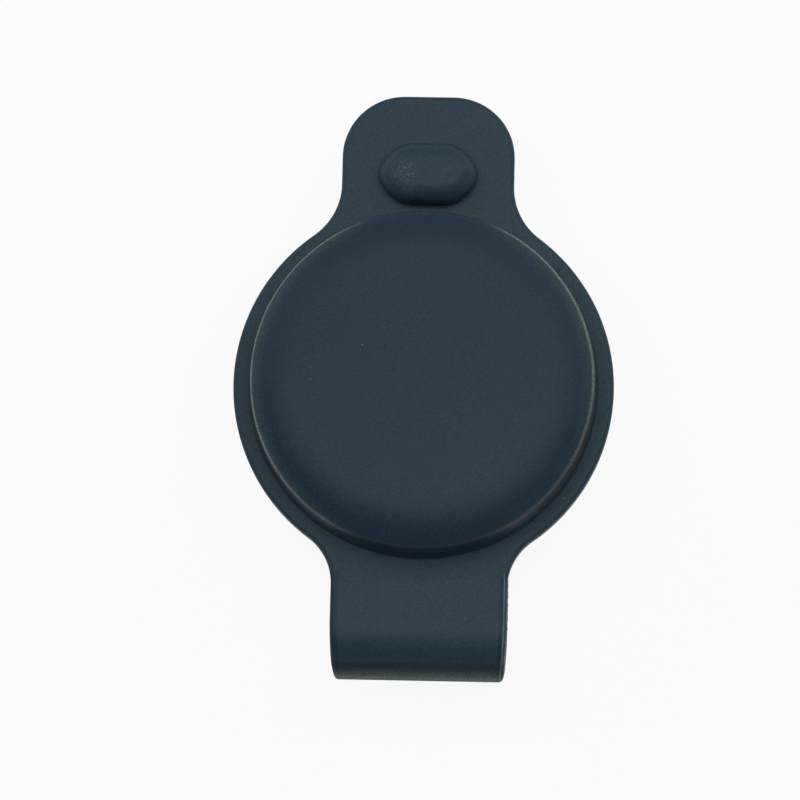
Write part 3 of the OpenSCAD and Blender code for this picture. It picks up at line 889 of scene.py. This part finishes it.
# Battery cover: a dished disc of thin polished steel with a rolled edge. It is pressed, polished,
# and glued on a white plastic ring whose three tabs lock behind the tray's ledges.
cover_low, cover_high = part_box("battery_cover")
cover_r = cover_high.x
cover_t = 0.0003
cover_crown = cover_high.z - cover_low.z - cover_t
dish_steps = 24
roll_steps = 8
roll_turn = 80
steel_grey, steel_pale = colour(205, 206, 208), colour(219, 220, 221)
ring_scale, scratch_scale = 9000.0, 260.0
ring_depth, ring_matt = 0.000004, 0.05
scratches_seen = (0.55, 0.75)


def cover_disc():
    def dish(r):
        return cover_low.z + cover_crown * (r / cover_r) ** 2
    edge = cover_t / 2
    radii = np.linspace(0, cover_r - edge, dish_steps + 1)[1:]
    outer = [(r, dish(r)) for r in radii]
    rolled = arc(cover_r - edge, dish(cover_r) + edge, edge, edge, -roll_turn, roll_turn, roll_steps)
    inner = [(r, dish(r) + cover_t) for r in radii[::-1]]
    return lathed("tag_cover", np.concatenate([outer, rolled, inner]), dish(0), dish(0) + cover_t)


def polished_steel(name, shine, scratches):
    """Steel with the fine rings that turning and polishing leave, and a few stray scratches."""
    finish = Finish(name, Metallic=1.0)
    x, y, _ = finish.parts(finish.place())
    rings = finish.node("ShaderNodeTexNoise", {"noise_dimensions": "1D"},
                        {"W": finish.span(x, y), "Scale": ring_scale, "Detail": 4.0})
    wear = finish.noise(scratch_scale, 5.0)
    finish.feed("Base Color", finish.blended(wear, steel_grey, steel_pale))
    scratched = finish.between(wear, *scratches_seen) * scratches
    finish.feed("Roughness", shine + rings * ring_matt + scratched)
    finish.feed("Normal", finish.bump(rings, ring_depth, 0.25))
    return finish.material


def dress(material, *names):
    """Gives solids of the frame that show as they are this material."""
    for name in names:
        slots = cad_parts[name].data.materials
        slots.clear()
        slots.append(material)


cover = cover_disc()
cover.data.materials.append(polished_steel("cover_steel", shine=0.08, scratches=0.1))
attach(cover, "cover")
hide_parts("battery_cover")
dress(white, "battery_tray", "cover_ring")

# Cell and its contacts: a coin cell in a plated steel can, crimped over a black gasket round its
# cap, which springs of nickel-plated steel touch from above and from the side.
plated = polished_steel("plated_steel", shine=0.24, scratches=0.12)
mottle_depth, mottle_matt = 0.00001, 0.1


def moulding(name, low, high, roughness, sheen=0.4, scale=900.0, detail=4.0, relief=0.4):
    """A moulded or pressed filling with a slightly mottled, dull skin between two colours."""
    finish = Finish(name, IOR=1.5, Specular_IOR_Level=sheen)
    mottle = finish.noise(scale, detail)
    finish.feed("Base Color", finish.blended(mottle, colour(*low), colour(*high)))
    finish.feed("Roughness", roughness + mottle * mottle_matt)
    finish.feed("Normal", finish.bump(mottle, mottle_depth, relief))
    return finish.material


dress(plated, "cell_can", "cell_cap", "negative_contact", "positive_contacts", "radio_shield",
      "magnet_yoke")
dress(moulding("cell_gasket_rubber", (24, 24, 26), (34, 34, 36), 0.6), "cell_gasket", "cover_seal")
dress(moulding("cell_filling", (40, 40, 42), (58, 57, 56), 0.8), "cell_core")

# Electronics: a ring-shaped circuit board under a plastic antenna ring, on which three copper
# antennas are plated, with small soldered parts beside the shield over the radio.
mask_dark, mask_pale, glass_cloth = colour(16, 26, 36), colour(24, 40, 50), colour(70, 84, 90)
bright_copper, dull_copper = colour(214, 138, 98), colour(176, 100, 66)
weave_scale, track_scale, tarnish_scale = 16000, 700.0, 500.0
track_depth, tracks_seen, tarnish_seen = 0.00001, (0.52, 0.54), (0.35, 0.7)
weave_share = 0.06
board_matt, track_matt, copper_matt, tarnish_matt = 0.3, 0.08, 0.28, 0.15


def laminate():
    """Dark solder mask with the faint weave of the glass cloth and the sheen of buried tracks."""
    finish = Finish("laminate", IOR=1.5)
    x, y, _ = finish.parts(finish.place())
    weave = finish.math("SINE", x * weave_scale) * finish.math("SINE", y * weave_scale)
    tracks = finish.between(finish.noise(track_scale, 0.0), *tracks_seen)
    mask = finish.blended(tracks, mask_dark, mask_pale)
    finish.feed("Base Color", finish.blended((weave + 1) * weave_share, mask, glass_cloth))
    finish.feed("Roughness", board_matt + tracks * track_matt)
    finish.feed("Normal", finish.bump(tracks, track_depth, 0.5))
    return finish.material


def copper_finish():
    """Bare copper, a little tarnished where it was handled."""
    finish = Finish("copper", Metallic=1.0)
    tarnish = finish.noise(tarnish_scale, 4.0)
    dulled = finish.between(tarnish, *tarnish_seen)
    finish.feed("Base Color", finish.blended(dulled, bright_copper, dull_copper))
    finish.feed("Roughness", copper_matt + tarnish * tarnish_matt)
    return finish.material


copper = copper_finish()
dress(laminate(), "circuit_board")
dress(moulding("antenna_plastic", (176, 178, 180), (190, 191, 193), 0.45, sheen=0.45, scale=3000.0,
               detail=3.0, relief=0.3), "antenna_ring")
dress(copper, "antenna_traces")
dress(moulding("chip_resin", (22, 22, 24), (32, 32, 34), 0.5), "board_chips")
dress(moulding("magnet_plating", (120, 121, 124), (136, 137, 140), 0.3), "speaker_magnet")

# Voice coil: fine copper wire wound in layers on a round former, glued inside the tag's front,
# which it shakes to sound the tag. It hangs in the gap between the magnet and its yoke.
coil_low, coil_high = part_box("voice_coil")
wire_d = 0.00009
wire_sides = 6
coil_layers = 4
turn_steps = 48
turns_left_out = 1.2


def coil_tree():
    """Layers of round wire wound up and down at an even pitch."""
    tree = Growth("coil", Outer=float, Low=float, High=float, Wire=float, Turns=float)
    low, high, wire_t = tree.given("Low"), tree.given("High"), tree.given("Wire")
    wire = tree.node("GeometryNodeCurvePrimitiveCircle", {"mode": "RADIUS"},
                     {"Resolution": wire_sides, "Radius": wire_t / 2})
    layers = []
    for layer in range(coil_layers):
        radius = tree.given("Outer") - wire_t * (layer + 0.5)
        spiral = tree.node("GeometryNodeCurveSpiral", None, {
            "Resolution": turn_steps, "Rotations": tree.given("Turns"), "Start Radius": radius,
            "End Radius": radius, "Height": high - low - wire_t, "Reverse": layer % 2 == 1})
        raised = tree.node("GeometryNodeTransform", None,
                           {"Geometry": spiral, "Translation": tree.point(z=low + wire_t / 2)})
        layers.append(tree.node("GeometryNodeCurveToMesh", None,
                                {"Curve": raised, "Profile Curve": wire, "Fill Caps": True}))
    return tree.finish(tree.joined(layers), copper)


coil = grown_piece("coil_winding", coil_tree(), {
    "Outer": coil_high.x, "Low": coil_low.z, "High": coil_high.z, "Wire": wire_d,
    "Turns": (coil_high.z - coil_low.z) / wire_d - turns_left_out})
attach(coil, "tag")
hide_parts("voice_coil")

# Studio: a white table under the holder, a large softbox over it and two dimmer ones low on the
# tab's side, in a dim room that is paler beside the table. The camera stands at the strap's end.
floor_half = 3.0
floor_z = -0.00005
paper_grey = (0.85, 0.85, 0.85, 1)
plain_white = (1, 1, 1, 1)
paper_glow = 0.92
room_top = 0.36
room_light, low_light, side_light, corner_light = 0.07, 0.24, 0.4, 1.6
side_reach, corner_reach = (0.3, 0.8), (-0.7, 0.4)
mirrored_share = 0.3


def stage_plane(name):
    corners = [(-floor_half, -floor_half, floor_z), (floor_half, -floor_half, floor_z),
               (floor_half, floor_half, floor_z), (-floor_half, floor_half, floor_z)]
    mesh = bpy.data.meshes.new(name)
    mesh.from_pydata(corners, [], [(0, 1, 2, 3)])
    plane = bpy.data.objects.new(name, mesh)
    bpy.context.scene.collection.objects.link(plane)
    return plane


def seen_rays(graph, *kinds):
    """One on rays of the given kinds, and zero on all others."""
    rays = graph.tree.nodes.new("ShaderNodeLightPath").outputs
    return sum((Value(graph, rays[kind]) for kind in kinds[1:]), Value(graph, rays[kinds[0]]))


floor = stage_plane("floor")
paper = Finish("floor_paper")
shader = paper.node("ShaderNodeBsdfDiffuse", None, {"Color": paper_grey})
glow = paper.node("ShaderNodeEmission", None, {"Color": plain_white, "Strength": 1.0})
seen = seen_rays(paper, "Is Camera Ray", "Is Glossy Ray", "Is Transmission Ray")
paper.put(paper.tree.nodes["Material Output"].inputs["Surface"],
          paper.node("ShaderNodeMixShader", None, {0: seen * paper_glow, 1: shader, 2: glow}))
floor.data.materials.append(paper.material)

world = bpy.data.worlds.new("studio")
world.use_nodes = True
bpy.context.scene.world = world
room = Graph(world.node_tree)
world.node_tree.nodes.clear()
x, y, height = room.parts(room.node("ShaderNodeTexCoord", output="Generated"))
near_floor = 1 - room.between(height, 0.0, room_top)
beside = room.between(abs(x), *side_reach)
beyond = room.between(y, *corner_reach)
lit = room_light + near_floor * (low_light + beside * (side_light + beyond * corner_light))
dim = room.node("ShaderNodeBackground", None, {"Color": plain_white, "Strength": lit})
bright = room.node("ShaderNodeBackground", None, {"Color": plain_white, "Strength": 1.0})
output = world.node_tree.nodes.new("ShaderNodeOutputWorld")
# A room that mirrors white in full would wash out the rubber's dark sides.
mirrored = seen_rays(room, "Is Glossy Ray") * mirrored_share
room.put(output.inputs["Surface"], room.node("ShaderNodeMixShader", None, {
    0: seen_rays(room, "Is Camera Ray", "Is Transmission Ray") + mirrored, 1: dim, 2: bright}))

lamp_distance = 0.7


def softbox(name, lean, towards, half_x, half_y, radiance):
    """A soft lamp, with its lean from upright, its bearing from +X and its half spans in degrees."""
    light = bpy.data.lights.new(name, "AREA")
    light.shape = "RECTANGLE"
    light.size, light.size_y = (2 * lamp_distance * math.tan(math.radians(half))
                                for half in (half_x, half_y))
    light.energy = radiance * math.pi * light.size * light.size_y
    lamp = bpy.data.objects.new(name, light)
    bpy.context.scene.collection.objects.link(lamp)
    lamp.matrix_world = Matrix.Rotation(math.radians(towards - 90), 4, "Z") \
        @ Matrix.Rotation(-math.radians(lean), 4, "X") @ Matrix.Translation((0, 0, lamp_distance))


softbox("overhead_box", lean=12, towards=90, half_x=33, half_y=23.5, radiance=2.15)
softbox("left_box", lean=64, towards=148, half_x=22, half_y=13, radiance=1.2)
softbox("right_box", lean=64, towards=42, half_x=20, half_y=13, radiance=1.05)

camera_data = bpy.data.cameras.new("camera")
camera_data.lens, camera_data.sensor_width, camera_data.clip_start = 200.0, 36.0, 0.01
camera = bpy.data.objects.new("camera", camera_data)
bpy.context.scene.collection.objects.link(camera)
picture_px = 800
px_size = 0.0001
pocket_px = (423.5, 387.2)
tilt_down, tilt_right, lean = math.radians(10.5), math.radians(2.0), math.radians(1.38)
back = Vector((math.tan(tilt_right), -math.tan(tilt_down), 1.0)).normalized()
side = Vector((0, 1, 0)).cross(back).normalized()
up = back.cross(side)
leaned_up = up * math.cos(lean) - side * math.sin(lean)
leaned_side = side * math.cos(lean) + up * math.sin(lean)
distance = camera_data.lens / camera_data.sensor_width * picture_px * px_size
aim = Vector((0, 0, face_z - half_sheet)) - leaned_side * (pocket_px[0] - picture_px / 2) * px_size \
    - leaned_up * (picture_px / 2 - pocket_px[1]) * px_size
turned = Matrix((leaned_side, leaned_up, back)).transposed().to_4x4()
camera.matrix_world = Matrix.Translation(aim + back * distance) @ turned
bpy.context.scene.camera = camera
bpy.context.scene.view_settings.view_transform = "Standard"
